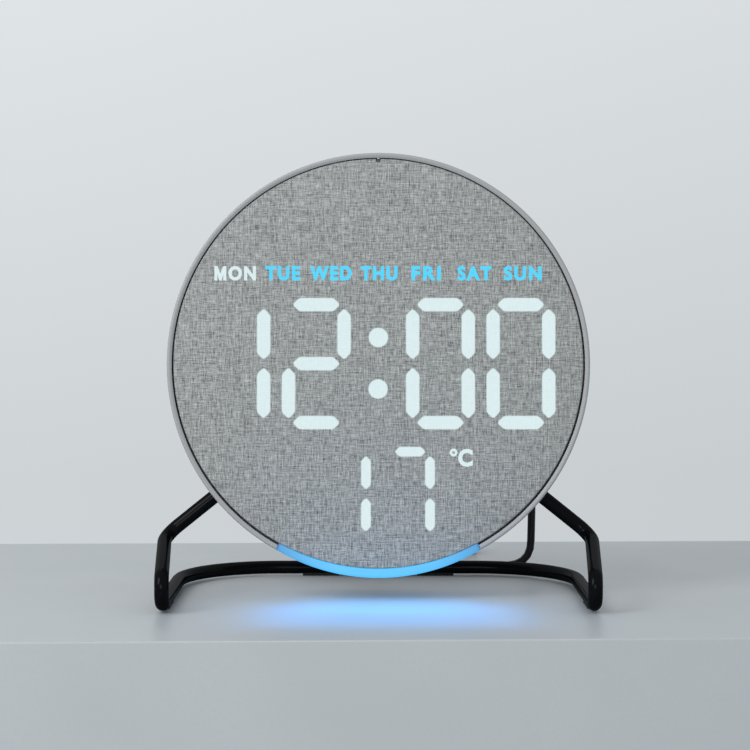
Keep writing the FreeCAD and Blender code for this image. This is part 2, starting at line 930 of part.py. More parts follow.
def usb_plug_body():
    start = usb_start()
    relief = Part.makeCone(cord_radius + 0.4, 3.0, usb_relief_length, start, V(1, 0, 0))
    x = start.x + usb_relief_length
    body = Part.makeBox(usb_body_length, usb_body_width, usb_body_height, V(x, start.y - usb_body_width / 2, 0))
    long_edges = [edge for edge in body.Edges if edge.BoundBox.XLength > usb_body_length - 0.1]
    body = body.makeFillet(1.4, long_edges)
    return relief.fuse(body)


def usb_plug_shell():
    start = usb_start()
    x = start.x + usb_relief_length + usb_body_length
    length, width, height = usb_shell_size
    skin = usb_shell_skin
    side = start.y - width / 2
    low = usb_axis_z - height / 2
    shell = Part.makeBox(length, width, height, V(x, side, low))
    room = V(x + 0.5, side + skin, low + skin)
    shell = shell.cut(Part.makeBox(length, width - 2 * skin, height - 2 * skin, room))
    tongue = V(x, side + skin + 0.5, low + skin)
    return shell.fuse(Part.makeBox(length - 1, width - 2 * skin - 1, 1.8, tongue))


save_in_housing("front_housing", front_housing())
save_in_housing("front_panel", front_panel())
save_in_housing("fabric_cover", fabric_cover())
save_in_housing("diffuser_film", diffuser_film())
save_in_housing("light_mask", light_mask())
save_in_housing("display_board", display_board())
save_in_housing("segment_leds", segment_leds())
save_in_housing("display_driver", display_driver())
save_in_housing("board_screws", board_screws())
save_in_housing("light_bar", light_bar())
save_in_housing("mood_light_board", mood_light_board())
save_in_housing("mood_light_leds", mood_light_leds())
save_in_housing("light_bar_flex", light_bar_flex())
save_in_housing("rear_cover", rear_cover())
save_in_housing("cover_screws", cover_screws())
save_in_housing("control_board", control_board())
save_in_housing("control_board_screws", control_board_screws())
save_in_housing("header_socket", header_socket())
save_in_housing("pin_header", pin_header())
save_in_housing("tact_switches", tact_switches())
for button, place_x in button_places.items():
    save_in_housing(button, button_cap(place_x))
    save_in_housing(button.replace("button", "plunger"), switch_plunger(place_x))
save_in_housing("controller_chip", controller_chip())
save_in_housing("clock_crystal", clock_crystal())
save_in_housing("power_capacitor", power_capacitor())
save_in_housing("temperature_sensor", temperature_sensor())
save_in_housing("cell_holder", cell_holder())
save_in_housing("backup_cell", backup_cell())
save_in_housing("cell_contacts", cell_contacts())
save_in_housing("battery_cap", battery_cap())
save_in_housing("buzzer", buzzer())
save_in_housing("power_socket", power_socket())
save("stand_rod", stand_rod())
save_in_housing("stand_bush_left", stand_bush(-1))
save_in_housing("stand_bush_right", stand_bush(1))
save_in_housing("stand_set_screws", stand_set_screws())
save("foot_pads", foot_pads())
save_in_housing("dc_plug_barrel", dc_plug_barrel())
save_in_housing("dc_plug_body", dc_plug_body())
save("cord_tube", cord_tube())
save("cord_coil", cord_coil())
save("cord_tie", cord_tie())
save("cord_tail", cord_solid(tail_points(), "cord_tail"))
save("usb_plug_body", usb_plug_body())
save("usb_plug_shell", usb_plug_shell())
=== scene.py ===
"""Round bedside clock with a light display behind cloth, on a bent rod stand.

Lengths are in metres in the row frame: X to the right seen from the front, Y to the rear, Z up."""

import math

import bmesh
import bpy
from mathutils import Matrix, Vector
from mathutils.geometry import delaunay_2d_cdt


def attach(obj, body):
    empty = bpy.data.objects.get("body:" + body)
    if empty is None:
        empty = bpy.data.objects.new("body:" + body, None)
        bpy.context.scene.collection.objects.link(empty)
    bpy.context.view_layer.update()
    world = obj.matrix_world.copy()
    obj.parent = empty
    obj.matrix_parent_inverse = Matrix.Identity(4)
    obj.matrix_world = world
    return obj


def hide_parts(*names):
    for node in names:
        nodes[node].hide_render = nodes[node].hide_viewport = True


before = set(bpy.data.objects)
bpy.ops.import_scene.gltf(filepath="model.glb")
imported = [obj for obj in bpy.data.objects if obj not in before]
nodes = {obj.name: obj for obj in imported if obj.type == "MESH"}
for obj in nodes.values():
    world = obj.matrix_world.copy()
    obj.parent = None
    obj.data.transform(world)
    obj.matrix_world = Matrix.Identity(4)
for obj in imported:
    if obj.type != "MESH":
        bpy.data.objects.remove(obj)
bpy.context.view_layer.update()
mm = 0.001


# ---- Camera and surroundings ----
# A pale shelf under the clock and plain light from the left, in front and above. The camera stands at the
# height of the clock's upper third and looks a little down.

camera_distance = 0.7074
camera_height = 0.110
camera_drop = math.radians(2.434)
face_y = -0.014


def linked(name, data):
    """A new object in the scene."""
    obj = bpy.data.objects.new(name, data)
    bpy.context.collection.objects.link(obj)
    return obj


def add_mesh(name, points, faces, body="clock"):
    """A new mesh object that rides on a body."""
    mesh = bpy.data.meshes.new(name)
    mesh.from_pydata([tuple(point) for point in points], [], faces)
    obj = linked(name, mesh)
    if body:
        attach(obj, body)
    return obj


camera_data = bpy.data.cameras.new("camera")
camera_data.lens = 96
camera_data.sensor_width = 36
camera_data.clip_start = 0.02
camera = linked("camera", camera_data)
camera.location = (-0.0012, face_y - camera_distance, camera_height)
camera.rotation_euler = (math.pi / 2 - camera_drop, 0, 0)
bpy.context.scene.camera = camera
bpy.context.scene.view_settings.view_transform = "Standard"


def node_maker(tree):
    """A function that adds a node to a tree.

    Inputs go by name, or as i and a number. They take a value, a socket or a node, whose first output counts."""

    def node(kind, settings=None, **inputs):
        new = tree.nodes.new(kind)
        for key, value in (settings or {}).items():
            setattr(new, key, value)
        for key, value in inputs.items():
            socket = new.inputs[int(key[1:])] if key[1:].isdigit() else new.inputs[key.replace("_", " ")]
            if isinstance(value, bpy.types.Node):
                value = value.outputs[0]
            if isinstance(value, bpy.types.NodeSocket):
                tree.links.new(value, socket)
            else:
                socket.default_value = value
        return new

    return node


def add_material(name, roughness, metallic=0.0):
    """A material with a Principled shader, and functions that add nodes and join them to the shader."""
    material = bpy.data.materials.new(name)
    material.use_nodes = True
    tree = material.node_tree
    shader = tree.nodes["Principled BSDF"]
    shader.inputs["Roughness"].default_value = roughness
    shader.inputs["Metallic"].default_value = metallic

    def join(source, name):
        output = source.outputs[0] if isinstance(source, bpy.types.Node) else source
        tree.links.new(output, shader.inputs[name])

    return material, node_maker(tree), join


def two_tone(node, factor, dark, light):
    """A colour ramp between two colours."""
    ramp = node("ShaderNodeValToRGB", i0=factor)
    ramp.color_ramp.elements[0].color = (*dark, 1)
    ramp.color_ramp.elements[1].color = (*light, 1)
    return ramp


def speckled(name, colour, spread, roughness, grain, bump, metallic=0.0):
    """A moulded, coated or cast surface: fine grain in its bump, and slow changes of tone and gloss."""
    material, node, join = add_material(name, roughness, metallic)
    place = node("ShaderNodeTexCoord").outputs["Object"]
    fine = node("ShaderNodeTexNoise", Vector=place, Scale=grain, Detail=3.0, Roughness=0.6)
    slow = node("ShaderNodeTexNoise", Vector=place, Scale=grain / 40, Detail=2.0)
    both = node("ShaderNodeMath", {"operation": "MULTIPLY"}, i0=fine, i1=slow)
    tone = node("ShaderNodeMapRange", i0=both, i1=0.15, i2=0.4)
    dark = [value * (1 - spread) for value in colour]
    light = [min(1, value * (1 + spread)) for value in colour]
    join(two_tone(node, tone, dark, light), "Base Color")
    gloss = node("ShaderNodeMapRange", i0=slow, i1=0.3, i2=0.7, i3=roughness * 0.88, i4=roughness * 1.12)
    join(gloss, "Roughness")
    relief = node("ShaderNodeBump", Strength=bump, Distance=0.0002, Height=fine)
    join(relief, "Normal")
    return material


def dress(obj, material):
    """Gives every face of a piece one material."""
    obj.data.materials.clear()
    obj.data.materials.append(material)


def shelf():
    """A painted shelf board, a little out of line with the clock."""
    turn = Matrix.Rotation(math.radians(1.9), 3, "Z")
    half_width, rear, front, thickness = 0.75, 0.1475, -0.0965, 0.060
    corners = [(-half_width, front), (half_width, front), (half_width, rear), (-half_width, rear)]
    points = [turn @ Vector((x, y, z)) for z in (-thickness, 0.0) for x, y in corners]
    sides = [(0, 3, 2, 1), (4, 5, 6, 7)]
    sides += [(i, (i + 1) % 4, (i + 1) % 4 + 4, i + 4) for i in range(4)]
    board = add_mesh("shelf", points, sides, None)
    bevel = board.modifiers.new("edge", "BEVEL")
    bevel.width = 0.0005
    bevel.segments = 3
    dress(board, speckled("shelf_paint", (0.404, 0.428, 0.444), 0.02, 0.42, 900, 0.02))


def room_light():
    """Pale surroundings, a shade lighter above and to the left."""
    world = bpy.data.worlds.new("room")
    bpy.context.scene.world = world
    world.use_nodes = True
    tree = world.node_tree
    node = node_maker(tree)
    background = tree.nodes["Background"].inputs
    across, _, up = node("ShaderNodeSeparateXYZ", i0=node("ShaderNodeTexCoord").outputs["Generated"]).outputs
    height = node("ShaderNodeMapRange", i0=up, i1=-0.09, i2=0.15)
    colour = two_tone(node, height, (0.600, 0.632, 0.655), (0.722, 0.757, 0.780))
    tree.links.new(colour.outputs[0], background["Color"])
    side = node("ShaderNodeMapRange", i0=across, i1=-0.17, i2=0.17, i3=1.03, i4=0.965)
    tree.links.new(side.outputs[0], background["Strength"])


def soft_lamp(name, place, aim, width, height, power, colour=(1, 1, 1)):
    """A rectangular lamp that faces a point."""
    data = bpy.data.lights.new(name, "AREA")
    data.shape = "RECTANGLE"
    data.size = width
    data.size_y = height
    data.energy = power
    data.color = colour
    lamp = linked(name, data)
    lamp.location = place
    lamp.rotation_euler = (Vector(aim) - Vector(place)).to_track_quat("-Z", "Y").to_euler()
    return lamp


shelf()
room_light()
soft_lamp("window", (-0.62, -0.50, 0.55), (0, 0, 0.06), 0.40, 0.50, 4.2, (1.0, 0.995, 0.98))
soft_lamp("room_fill", (-0.25, -1.60, 0.35), (0, 0, 0.05), 0.7, 0.5, 5.0, (0.98, 1.0, 1.0))


# ---- Power lead ----
# A thin round PVC lead. It leaves its straight plug behind the housing, hangs down, runs along the rear bar
# of the stand, and the rest of it is wound into a neat coil with a strap, with its second plug behind.

housing_tilt = math.radians(4.0)
centre_height = 0.0839
housing_depth = 0.032
in_housing = Matrix.Translation((0, face_y, centre_height)) @ Matrix.Rotation(-housing_tilt, 4, "X")

lead_diameter = 0.003
plug_place = (59.5 * mm, -22.0 * mm)
plug_face = housing_depth + 0.05 * mm
plug_length = 15.0 * mm
relief_length = 10.0 * mm
coil_centre = Vector((0.0, 0.080, 0.0))
tie_thickness = 0.7 * mm
lead_low = lead_diameter / 2 + 0.05 * mm
usb_axis_z = 3.8 * mm
turn_points = 14
# radius and level of each turn, from the outside of the bottom layer to the outside of the top one
coil_turns = [(20, 0), (17, 0), (14, 0), (14, 1), (14, 2), (17, 2), (17, 1), (20, 1), (20, 2)]


def lead_drop():
    """The stretch from the plug to the coil."""
    start = in_housing @ Vector((plug_place[0], plug_face + plug_length + relief_length, plug_place[1]))
    steps = [(0, 0, 0), (0, 8.5, -0.6), (0.5, 15.9, -5.7), (0.8, 19.9, -14.2), (0.95, 20.1, -27.4)]
    points = [start + Vector(step) * mm for step in steps]
    floor = [(60.25, 60.9, 20.5), (59.85, 60.9, 2.2)]
    points += [Vector(point) * mm for point in floor]
    along = [(41.0, 60.7, 0), (33.4, 61.2, 0), (24.4, 62.2, 0), (12.0, 61.3, 0.2)]
    return points + [Vector((x * mm, y * mm, lead_low + z * mm)) for x, y, z in along]


def lead_coil():
    """Eight and a quarter turns, each a diameter from the last, with its step to the next in its last fifth."""
    points = []
    for index in range(int(8.25 * turn_points) + 1):
        turn = index / turn_points
        whole = min(int(turn), len(coil_turns) - 1)
        following = coil_turns[min(whole + 1, len(coil_turns) - 1)]
        radius, level = coil_turns[whole]
        step = max(0.0, (turn - whole - 0.8) / 0.2)
        radius += (following[0] - radius) * step + 0.12 * math.sin(5.0 * turn + whole)
        level += (following[1] - level) * step
        angle = -math.pi / 2 - 2 * math.pi * turn
        height = tie_thickness + lead_diameter * (level + 0.5)
        ring = Vector((math.cos(angle), math.sin(angle), 0)) * radius * mm
        points.append(coil_centre + ring + Vector((0, 0, height)))
    return points


def lead_tail():
    """From the top of the coil round to the second plug."""
    top = tie_thickness + 2.5 * lead_diameter
    start = coil_centre + Vector((-20 * mm, 0, top))
    steps = [(-0.1, 7.5, -0.2), (0.8, 15.5, -1.6), (3.6, 22.8, -3.1), (8.4, 28.4, -4.1)]
    points = [start + Vector(step) * mm for step in steps]
    points.append(Vector((start.x + 15.0 * mm, start.y + 31.6 * mm, usb_axis_z)))
    points.append(Vector((start.x + 21.4 * mm, start.y + 32.4 * mm, usb_axis_z)))
    return points


def path(name, kind, places, radii):
    """A curve through points, each with a radius, and its spline."""
    data = bpy.data.curves.new(name, "CURVE")
    data.dimensions = "3D"
    spline = data.splines.new(kind)
    spline.points.add(len(places) - 1)
    for point, place, radius in zip(spline.points, places, radii):
        point.co = (*place, 1)
        point.radius = radius
    return linked(name, data), spline


def add_lead(points):
    lead, spline = path("power_lead", "NURBS", points, [lead_diameter / 2] * len(points))
    spline.order_u = 3
    spline.use_endpoint_u = True
    lead.data.bevel_depth = 1.0  # a point's radius is then the lead's own
    lead.data.bevel_resolution = 4
    lead.data.resolution_u = 5
    lead.data.use_fill_caps = True
    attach(lead, "clock")
    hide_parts("cord_tube", "cord_coil", "cord_tail")
    return lead


lead_route = lead_drop() + lead_coil() + lead_tail()
power_lead = add_lead(lead_route)
lead_pvc = speckled("lead_pvc", (0.004, 0.0042, 0.0045), 0.25, 0.45, 1400, 0.12)
lead_pvc.node_tree.nodes["Principled BSDF"].inputs["Specular IOR Level"].default_value = 0.2
dress(power_lead, lead_pvc)


def finish_node(material, *names):
    """Gives pieces of the frame that keep their shape a better surface."""
    for name in names:
        for slot in nodes[name].material_slots:
            slot.material = material


def closed_up(obj, sharp=35):
    """Merges doubled points, turns every face outward and shades the round parts smooth."""
    work = bmesh.new()
    work.from_mesh(obj.data)
    bmesh.ops.remove_doubles(work, verts=work.verts, dist=1e-7)
    bmesh.ops.dissolve_degenerate(work, edges=work.edges, dist=1e-8)
    bmesh.ops.recalc_face_normals(work, faces=work.faces)
    work.to_mesh(obj.data)
    work.free()
    obj.data.shade_smooth()
    obj.data.set_sharp_from_angle(angle=math.radians(sharp))
    return obj


def skin(name, rings, body="clock", wrap=False, closed=True, sharp=35):
    """A surface through rings of points. It has flat ends, unless the last ring meets the first."""
    count = len(rings[0])
    faces = []
    for ring in range(len(rings) if wrap else len(rings) - 1):
        here = ring * count
        there = (ring + 1) % len(rings) * count
        for i in range(count if closed else count - 1):
            j = (i + 1) % count
            faces.append((here + i, here + j, there + j, there + i))
    if not wrap:
        last = (len(rings) - 1) * count
        faces.append(tuple(range(count)))
        faces.append(tuple(last + i for i in reversed(range(count))))
    return closed_up(add_mesh(name, [point for ring in rings for point in ring], faces, body), sharp)


def turned(name, profile, body="clock", centre=(0, 0), start=0.0, sweep=360.0, steps=96):
    """A closed profile of (radius, depth) points in millimetres, turned about the housing's axis.

    The angle counts from +X towards +Z. A sweep of less than a full turn gets end faces."""
    full = sweep >= 360
    rings = []
    for step in range(steps if full else steps + 1):
        angle = math.radians(start + sweep * step / steps)
        places = [(centre[0] + r * math.cos(angle), depth, centre[1] + r * math.sin(angle)) for r, depth in profile]
        rings.append([in_housing @ (Vector(place) * mm) for place in places])
    return skin(name, rings, body, wrap=full)


def circle(x, z, radius, steps=32):
    """Points round a circle, from the +X side towards +Z."""
    angles = [2 * math.pi * step / steps for step in range(steps)]
    return [(x + radius * math.cos(angle), z + radius * math.sin(angle)) for angle in angles]


def lofted(name, stations, centre_y, centre_z, sides=40):
    """A tube of rounded sections along X, each given as (x, half width, half height, squareness)."""
    rings = []
    for x, half_width, half_height, power in stations:
        ring = []
        for place in circle(0, 0, 1, sides):
            across, up = [math.copysign(abs(value) ** (2 / power), value) for value in place]
            ring.append(Vector((x, centre_y + across * half_width, centre_z + up * half_height)) * mm)
        rings.append(ring)
    return skin(name, rings, sharp=40)


def dc_plug():
    """The round plug in the clock's back, with grip rings and a ribbed strain relief."""
    first = plug_face / mm
    profile = [(0, first), (3.6, first), (4.0, first + 0.4), (4.0, first + 2.0)]
    for ring in range(6):
        low = first + 2.4 + 1.5 * ring
        profile += [(3.72, low), (3.72, low + 0.6), (4.0, low + 0.85), (4.0, low + 1.25)]
    end = (plug_face + plug_length) / mm
    profile += [(4.0, end - 0.8), (3.77, end - 0.23), (3.2, end), (3.0, end)]
    for groove in range(4):
        low = end + 1.2 + 2.1 * groove
        radius = 3.0 - 0.1 * (low - end)
        profile += [(radius, low), (radius - 0.45, low + 0.2), (radius - 0.5, low + 0.8), (radius - 0.1, low + 1.0)]
    tip = end + relief_length / mm
    profile += [(2.05, tip - 0.2), (1.9, tip), (0, tip)]
    body = turned("dc_plug", profile, centre=(plug_place[0] / mm, plug_place[1] / mm), steps=40)
    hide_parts("dc_plug_body")
    dress(body, plug_pvc)
    return body


def usb_plug():
    """The other plug: a rounded body with grip grooves, and a ribbed strain relief towards the lead."""
    start = lead_route[-1] / mm
    stations = [(0, 1.75, 1.75, 2), (0.2, 1.9, 1.9, 2)]
    for groove in range(4):
        x = 1.2 + 1.7 * groove
        radius = 1.9 + 1.1 * x / 8
        stations += [(x, radius, radius, 2), (x + 0.15, radius - 0.45, radius - 0.45, 2)]
        stations += [(x + 0.7, radius - 0.4, radius - 0.4, 2), (x + 0.85, radius + 0.1, radius + 0.1, 2)]
    stations += [(8.0, 3.0, 3.0, 2), (8.05, 5.6, 3.1, 3), (8.4, 6.7, 3.5, 4.5), (9.2, 7.4, 3.75, 6)]
    for groove in range(5):
        x = 12.0 + 1.9 * groove
        stations += [(x, 7.5, 3.8, 6), (x + 0.3, 7.05, 3.55, 6), (x + 0.9, 7.05, 3.55, 6), (x + 1.2, 7.5, 3.8, 6)]
    stations += [(27.2, 7.5, 3.8, 6), (27.8, 7.3, 3.7, 6), (28.0, 6.9, 3.4, 6)]
    stations = [(start.x + x, *rest) for x, *rest in stations]
    body = lofted("usb_plug", stations, start.y, start.z)
    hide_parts("usb_plug_body")
    dress(body, plug_pvc)
    return body


def strap():
    """A hook-and-loop strap round the coil's section."""
    left, right, low, high = 10.9, 22.9, 0.0, 10.4
    half_width, thickness, round_corner, edge = 4.0, 0.62, 2.2, 0.15

    def outline(inset):
        loop = []
        for x, z, first in ((right, high, 0), (left, high, 90), (left, low, 180), (right, low, 270)):
            cx = x - round_corner if x == right else x + round_corner
            cz = z - round_corner if z == high else z + round_corner
            for step in range(7):
                angle = math.radians(first + 15 * step)
                reach = round_corner - inset
                loop.append((cx + reach * math.cos(angle), cz + reach * math.sin(angle)))
        return loop

    section = [(-half_width, 0.25), (edge - half_width, 0.0), (half_width - edge, 0.0), (half_width, 0.25)]
    section += [(half_width, 1.0), (-half_width, 1.0)]
    middle = coil_centre.y / mm
    rings = []
    for (ox, oz), (ix, iz) in zip(outline(0.0), outline(thickness)):
        places = [(ox + (ix - ox) * share, middle + y, oz + (iz - oz) * share) for y, share in section]
        rings.append([Vector(place) * mm for place in places])
    band = skin("coil_strap", rings, wrap=True, sharp=50)
    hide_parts("cord_tie")
    dress(band, speckled("strap_cloth", (0.02, 0.02, 0.022), 0.5, 0.85, 2600, 0.6))
    return band


plug_pvc = speckled("plug_pvc", (0.012, 0.012, 0.013), 0.3, 0.5, 1500, 0.25)
on_lead = [dc_plug(), usb_plug(), strap(), nodes["usb_plug_shell"]]
tuple(lead_route[0])
plug_metal = speckled("plug_metal", (0.62, 0.61, 0.6), 0.06, 0.24, 2000, 0.05, 1.0)
finish_node(plug_metal, "dc_plug_barrel", "usb_plug_shell")


# ---- Stand ----
# One 5 mm steel rod, cold bent on a jig and coated in black satin lacquer. Both ends go into steel bushes in
# the housing, where set screws hold them. Four thin pads under the floor loop keep it from sliding.

rod_radius = 2.5 * mm
rod_axis_z = 3.1 * mm
stand_angle = math.radians(38.7)
stand_depth = 15.5 * mm
shoulder_x = 77.0 * mm
foot_x = 73.6 * mm
foot_y = 47.0 * mm
foot_rise = 9.2 * mm
rod_inner_end = 60.5 * mm
bends = [7.0, 4.5, 4.5, 36.0]


def on_stand_axis(side, radius):
    """A point on the line along which the rod leaves the housing."""
    across = side * radius * math.cos(stand_angle)
    return in_housing @ Vector((across, stand_depth, -radius * math.sin(stand_angle)))


def geometry_plan(name, sizes):
    """A geometry node tree with named inputs, and a function that adds and joins its nodes."""
    tree = bpy.data.node_groups.new(name, "GeometryNodeTree")
    tree.interface.new_socket("Geometry", in_out="OUTPUT", socket_type="NodeSocketGeometry")
    tree.interface.new_socket("Geometry", in_out="INPUT", socket_type="NodeSocketGeometry")
    for size, kind in sizes.items():
        tree.interface.new_socket(size, in_out="INPUT", socket_type=kind)
    given = tree.nodes.new("NodeGroupInput").outputs
    step = node_maker(tree)

    def end(geometry, material):
        real = step("GeometryNodeRealizeInstances", Geometry=geometry)
        made = step("GeometryNodeSetMaterial", Geometry=real, Material=material)
        tree.links.new(made.outputs[0], tree.nodes.new("NodeGroupOutput").inputs[0])
        return tree

    return given, step, end


def evaluated_mesh(obj):
    """The mesh that an object's modifiers or curve settings give."""
    bpy.context.view_layer.update()
    return bpy.data.meshes.new_from_object(obj.evaluated_get(bpy.context.evaluated_depsgraph_get()))


def grown(name, source, tree, values, body):
    """Runs a tree on a source object and keeps the result as a plain mesh that rides on a body."""
    modifier = source.modifiers.new("plan", "NODES")
    modifier.node_group = tree
    for item in tree.interface.items_tree:
        if item.in_out == "INPUT" and item.name in values:
            modifier[item.identifier] = values[item.name]
    mesh = evaluated_mesh(source)
    mesh.name = name
    source.modifiers.remove(modifier)
    bpy.data.objects.remove(source)
    obj = linked(name, mesh)
    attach(obj, body)
    return closed_up(obj)


def rod_tree():
    sizes = {"Rod radius": "NodeSocketFloat", "Steps in a bend": "NodeSocketInt"}
    sizes.update({"Sides": "NodeSocketInt", "Finish": "NodeSocketMaterial"})
    given, step, end = geometry_plan("bent_rod", sizes)
    bend = step("GeometryNodeInputRadius")
    bends_at = {"Curve": given["Geometry"], "Count": given["Steps in a bend"], "Radius": bend}
    path = step("GeometryNodeFilletCurve", {"mode": "POLY"}, **bends_at)
    circle_of = {"Resolution": given["Sides"], "Radius": given["Rod radius"]}
    section = step("GeometryNodeCurvePrimitiveCircle", {"mode": "RADIUS"}, **circle_of)
    rod = step("GeometryNodeCurveToMesh", Curve=path, Profile_Curve=section, Scale=1.0, Fill_Caps=True)
    return end(rod, given["Finish"])


def stand_rod():
    left = [
        on_stand_axis(-1, rod_inner_end),
        on_stand_axis(-1, shoulder_x / math.cos(stand_angle)),
        Vector((-foot_x, -foot_y, rod_axis_z + foot_rise)),
        Vector((-foot_x, -foot_y, rod_axis_z)),
        Vector((-foot_x, foot_y, rod_axis_z)),
    ]
    route = left + [Vector((-p.x, p.y, p.z)) for p in reversed(left)]
    radii = [0.0] + bends + bends[::-1] + [0.0]
    rod_path, _ = path("rod_path", "POLY", route, [radius * mm for radius in radii])
    lacquer = speckled("black_lacquer", (0.0018, 0.0024, 0.0030), 0.25, 0.26, 1600, 0.05)
    finish = lacquer.node_tree.nodes["Principled BSDF"].inputs
    finish["Specular IOR Level"].default_value = 0.0
    finish["Coat Weight"].default_value = 0.12
    finish["Coat Roughness"].default_value = 0.15
    values = {"Rod radius": rod_radius, "Steps in a bend": 12, "Sides": 32, "Finish": lacquer}
    rod = grown("bent_rod", rod_path, rod_tree(), values, "clock")
    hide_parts("stand_rod")


stand_rod()
bush_steel = speckled("bush_steel", (0.55, 0.55, 0.55), 0.05, 0.32, 1800, 0.08, 1.0)
finish_node(bush_steel, "stand_bush_left", "stand_bush_right", "stand_set_screws")
finish_node(speckled("pad_rubber", (0.004, 0.004, 0.004), 0.3, 0.8, 1800, 0.4), "foot_pads")


# ---- Front shell ----
# The front half of the drum, moulded in light grey ABS with a fine spark texture. It has a flat rim with
# small rounded edges, a ledge that the panel sits on, and holes for the rod. A small key at the top of the
# rim finds the notch of the panel, and the rim is cut away at the bottom for the light bar.

outer = 75.0
inner = 73.0
opening = 73.25
front_depth = 23.0
ledge = 69.9
ledge_front, ledge_back = 3.1, 5.1
rim_round = 0.7
lip_width, lip_depth = 0.75, 0.5
rod_play = 0.25
bar_play = 0.12
rim_angles = [math.radians(degrees) for degrees in range(-90, 1, 15)]
rim_edge = [(outer - rim_round * (1 - math.cos(angle)), rim_round * (1 + math.sin(angle))) for angle in rim_angles]
bar_half_angle = 29.0
bar_depth = 11.0


def applied(obj, kind, **settings):
    """Gives an object the mesh that one modifier makes of it."""
    modifier = obj.modifiers.new(kind, kind)
    for key, value in settings.items():
        setattr(modifier, key, value)
    mesh = evaluated_mesh(obj)
    obj.modifiers.remove(modifier)
    obj.data = mesh


def cut(obj, *cutters):
    """Takes cutters away from a piece, one after another."""
    for cutter in cutters:
        applied(obj, "BOOLEAN", operation="DIFFERENCE", solver="EXACT", object=cutter)
        bpy.data.objects.remove(cutter)
    return closed_up(obj)


def straight_cutter(name, first, last, radius, sides=48):
    """A round cutter between two points."""
    turn = (last - first).to_track_quat("Z", "Y")
    ring = [turn @ Vector((x, y, 0)) for x, y in circle(0, 0, radius, sides)]
    return skin(name, [[place + point for point in ring] for place in (first, last)], None)


def straight_piece(name, outline, low, high, body="clock"):
    """A prism along the housing's axis, from an outline of (across, up) points between two depths."""
    rings = [[in_housing @ (Vector((x, depth, z)) * mm) for x, z in outline] for depth in (low, high)]
    return skin(name, rings, body)


def front_shell():
    profile = [(opening, lip_depth), (opening + lip_width, 0.0)]
    profile += rim_edge + [(outer, front_depth - 0.35), (outer - 0.35, front_depth), (inner, front_depth)]
    profile += [(inner, ledge_back), (ledge, ledge_back), (ledge, ledge_front), (opening, ledge_front)]
    shell = turned("front_shell", profile, steps=240)
    square = [(ledge - 1, -1), (outer + 2, -1), (outer + 2, bar_depth + 0.1), (ledge - 1, bar_depth + 0.1)]
    bottom = 270 - bar_half_angle
    gap = turned("bar_cutter", square, None, start=bottom, sweep=2 * bar_half_angle, steps=58)
    holes = []
    for side in (-1, 1):
        ends = [on_stand_axis(side, radius * mm) for radius in (inner - 3, outer + 3)]
        holes.append(straight_cutter("rod_cutter", *ends, rod_radius + rod_play * mm))
    cut(shell, gap, *holes)
    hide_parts("front_housing")
    dress(shell, shell_plastic)


def rim_key():
    """The key at the top of the rim, with its corners eased."""
    half, base, tip, ease, front = 0.45, opening + 0.12, opening - 0.45, 0.12, 0.6
    outline = [(-half, base), (half, base), (half, tip + ease), (half - ease, tip)]
    outline += [(ease - half, tip), (-half, tip + ease)]
    key = straight_piece("rim_key", outline, front, ledge_front)
    dress(key, shell_plastic)


shell_plastic = speckled("shell_abs", (0.305, 0.308, 0.312), 0.03, 0.5, 1500, 0.12)
front_shell()
rim_key()


# ---- Light bar ----
# A bowed strip of milky polycarbonate that fills the gap in the rim. A flange behind the ledge holds it, and
# nine lamps behind its inner edge light it blue, a little less towards its ends. Its glow falls on the shelf.

guide = 70.5
bar_inner = 72.58
bar_bow = 0.65


def light_bar():
    edge = bar_half_angle - bar_play
    profile = [(bar_inner, 0.1), (bar_inner + 0.1, 0.0)]
    profile += rim_edge + [(outer, bar_depth), (guide, bar_depth), (guide, ledge_back), (ledge + 0.1, ledge_back)]
    profile += [(ledge + 0.1, ledge_front + 0.1), (bar_inner, ledge_front + 0.1)]
    bar = turned("light_bar_strip", profile, start=270 - edge, sweep=2 * edge, steps=72)
    glow = bar.data.attributes.new("glow", "FLOAT", "POINT")
    middle = in_housing.inverted()
    for point, value in zip(bar.data.vertices, glow.data):
        local = middle @ point.co
        away = abs(math.degrees(math.atan2(local.x, -local.z))) / bar_half_angle
        value.value = 1.0 - 0.28 * away**3 - 0.25 * max(0.0, away - 0.975) / 0.025
        radius = math.hypot(local.x, local.z) / mm
        bow = bar_bow * max(0.0, radius - inner) / (outer - inner) * max(0.0, 1 - away**2)
        local.x *= 1 + bow / radius
        local.z *= 1 + bow / radius
        point.co = in_housing @ local
    material, node, join = add_material("lit_polycarbonate", 0.35)
    level = node("ShaderNodeAttribute", {"attribute_name": "glow"}).outputs["Fac"]
    place = node("ShaderNodeTexCoord").outputs["Object"]
    cloud = node("ShaderNodeTexNoise", Vector=place, Scale=90.0, Detail=2.0)
    tint = node("ShaderNodeMapRange", i0=level, i1=0.6, i2=1.0)
    colour = two_tone(node, tint, (0.08, 0.37, 0.82), (0.084, 0.527, 0.955))
    join(colour, "Emission Color")
    power = node("ShaderNodeMapRange", i0=cloud, i1=0.3, i2=0.7, i3=0.93, i4=1.0)
    both = node("ShaderNodeMath", {"operation": "MULTIPLY"}, i0=power, i1=level)
    join(both, "Emission Strength")
    grain = node("ShaderNodeTexNoise", Vector=place, Scale=1800.0)
    join(two_tone(node, grain, (0.02, 0.03, 0.04), (0.03, 0.045, 0.06)), "Base Color")
    join(node("ShaderNodeBump", Strength=0.08, Distance=0.0002, Height=grain), "Normal")
    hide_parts("light_bar")
    dress(bar, material)


